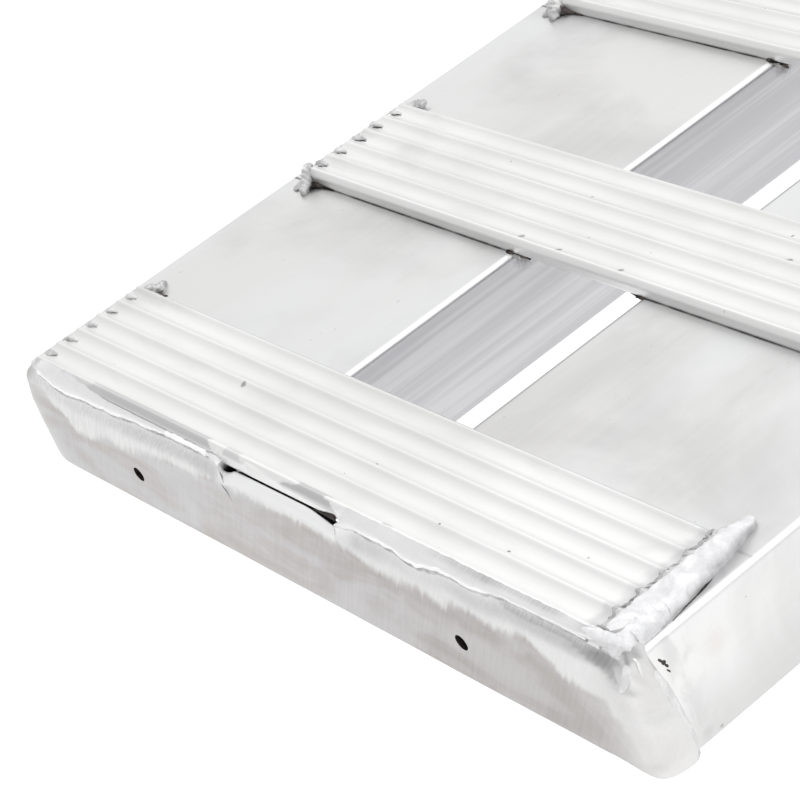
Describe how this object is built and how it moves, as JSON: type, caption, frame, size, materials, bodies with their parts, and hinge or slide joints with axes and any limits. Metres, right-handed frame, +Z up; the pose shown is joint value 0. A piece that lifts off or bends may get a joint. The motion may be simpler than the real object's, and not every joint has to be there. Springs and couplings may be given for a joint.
{
  "type": "folding loading ramp",
  "caption": "Straight folding loading ramp of welded aluminium box rails with ribbed rungs, hinged at mid length, with a bent lip that rests on a truck or trailer bed.",
  "frame": {"origin": "bottom centre of the unfolded ramp's box, on the plane that the hinge barrel rests on", "axes": "+X across the ramp to the right, seen from the ground end; +Y along it from the ground end to the lip; +Z up, out of the deck"},
  "size_m": [0.305, 2.3038, 0.0618],
  "materials": {
    "mill_aluminium": "mill finish, satin, with grinder marks at the welds",
    "ribbed_aluminium": "bright extruded, satin",
    "plated_steel": "zinc plated",
    "black_rubber": "matt moulded"
  },
  "bodies": {
    "lower_half": {"lower_left_rail": "mill_aluminium", "lower_right_rail": "mill_aluminium", "lower_rung_01": "ribbed_aluminium", "lower_rung_02": "ribbed_aluminium", "lower_rung_03": "ribbed_aluminium", "lower_rung_04": "ribbed_aluminium", "lower_rung_05": "ribbed_aluminium", "lower_rung_06": "ribbed_aluminium", "lower_rung_07": "ribbed_aluminium", "lower_rung_08": "ribbed_aluminium", "lower_rung_09": "ribbed_aluminium", "lower_rung_10": "ribbed_aluminium", "ground_end_plate": "mill_aluminium", "lower_hinge_leaf": "mill_aluminium", "hinge_pin": "plated_steel", "hinge_washers": "plated_steel", "hinge_clips": "plated_steel"},
    "upper_half": {"upper_left_rail": "mill_aluminium", "upper_right_rail": "mill_aluminium", "upper_rung_01": "ribbed_aluminium", "upper_rung_02": "ribbed_aluminium", "upper_rung_03": "ribbed_aluminium", "upper_rung_04": "ribbed_aluminium", "upper_rung_05": "ribbed_aluminium", "upper_rung_06": "ribbed_aluminium", "upper_rung_07": "ribbed_aluminium", "upper_rung_08": "ribbed_aluminium", "upper_rung_09": "ribbed_aluminium", "upper_end_plate": "mill_aluminium", "upper_hinge_leaf": "mill_aluminium", "lip_plate": "mill_aluminium", "left_lip_pad": "black_rubber", "right_lip_pad": "black_rubber", "lip_rivets": "mill_aluminium"}
  },
  "joints": [
    {"name": "fold", "type": "hinge", "parent": "lower_half", "child": "upper_half", "pos_m": [0, -0.04879, 0.009], "axis": [-1, 0, 0], "range_deg": [0, 180]}
  ]
}
